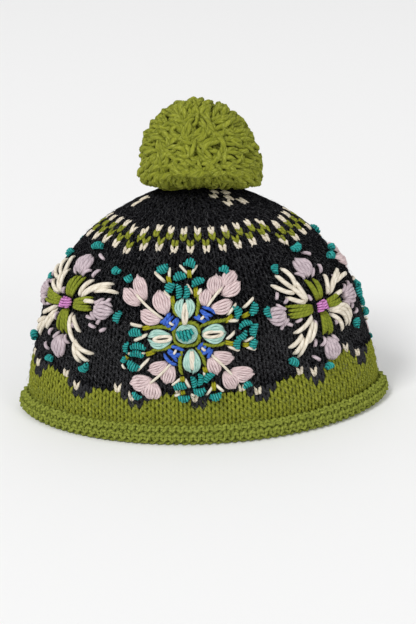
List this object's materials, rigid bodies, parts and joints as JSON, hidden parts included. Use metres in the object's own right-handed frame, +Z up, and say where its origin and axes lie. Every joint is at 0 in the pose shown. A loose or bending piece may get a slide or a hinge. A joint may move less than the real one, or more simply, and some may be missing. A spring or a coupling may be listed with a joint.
{
  "type": "chullo-style knitted bobble hat",
  "caption": "Hand-knitted bobble hat with embroidered flower medallions, a zigzag hem, a rolled rim and a chunky pompom.",
  "frame": {"origin": "on the surface that the hat stands on, under the middle of its rim", "axes": "+Z up through the pompom, +X to the hat's right-hand side crease as seen from the front, -Y towards the front with the middle rose"},
  "size_m": [0.2306, 0.1366, 0.1938],
  "materials": {
    "olive_wool": "matt twisted wool yarn",
    "black_wool": "matt twisted wool yarn",
    "cream_wool": "matt twisted wool yarn",
    "lilac_wool": "matt twisted wool yarn",
    "teal_wool": "matt twisted wool yarn",
    "aqua_wool": "matt twisted wool yarn"
  },
  "bodies": {
    "root": {"rolled_rim": "olive_wool", "hem_band": "olive_wool", "crown_lower": "black_wool", "pattern_band": "cream_wool", "crown_top": "black_wool", "pompom": "olive_wool", "rose_front_flower": "aqua_wool", "rose_front_spray_1": "lilac_wool", "rose_front_spray_2": "lilac_wool", "rose_front_spray_3": "lilac_wool", "rose_front_spray_4": "lilac_wool", "rose_front_buds_1": "teal_wool", "rose_front_buds_2": "teal_wool", "rose_front_buds_3": "teal_wool", "rose_front_buds_4": "teal_wool", "rose_back_left_flower": "aqua_wool", "rose_back_left_spray_1": "lilac_wool", "rose_back_left_spray_2": "lilac_wool", "rose_back_left_spray_3": "lilac_wool", "rose_back_left_spray_4": "lilac_wool", "rose_back_left_buds_1": "teal_wool", "rose_back_left_buds_2": "teal_wool", "rose_back_left_buds_3": "teal_wool", "rose_back_left_buds_4": "teal_wool", "rose_back_right_flower": "aqua_wool", "rose_back_right_spray_1": "lilac_wool", "rose_back_right_spray_2": "lilac_wool", "rose_back_right_spray_3": "lilac_wool", "rose_back_right_spray_4": "lilac_wool", "rose_back_right_buds_1": "teal_wool", "rose_back_right_buds_2": "teal_wool", "rose_back_right_buds_3": "teal_wool", "rose_back_right_buds_4": "teal_wool", "lily_left_flower": "olive_wool", "lily_left_leaf_1": "cream_wool", "lily_left_leaf_2": "cream_wool", "lily_left_leaf_3": "cream_wool", "lily_left_leaf_4": "cream_wool", "lily_left_tulip_1": "lilac_wool", "lily_left_tulip_2": "lilac_wool", "lily_left_tulip_3": "lilac_wool", "lily_left_tulip_4": "lilac_wool", "lily_right_flower": "olive_wool", "lily_right_leaf_1": "cream_wool", "lily_right_leaf_2": "cream_wool", "lily_right_leaf_3": "cream_wool", "lily_right_leaf_4": "cream_wool", "lily_right_tulip_1": "lilac_wool", "lily_right_tulip_2": "lilac_wool", "lily_right_tulip_3": "lilac_wool", "lily_right_tulip_4": "lilac_wool", "lily_back_flower": "olive_wool", "lily_back_leaf_1": "cream_wool", "lily_back_leaf_2": "cream_wool", "lily_back_leaf_3": "cream_wool", "lily_back_leaf_4": "cream_wool", "lily_back_tulip_1": "lilac_wool", "lily_back_tulip_2": "lilac_wool", "lily_back_tulip_3": "lilac_wool", "lily_back_tulip_4": "lilac_wool"}
  },
  "joints": []
}
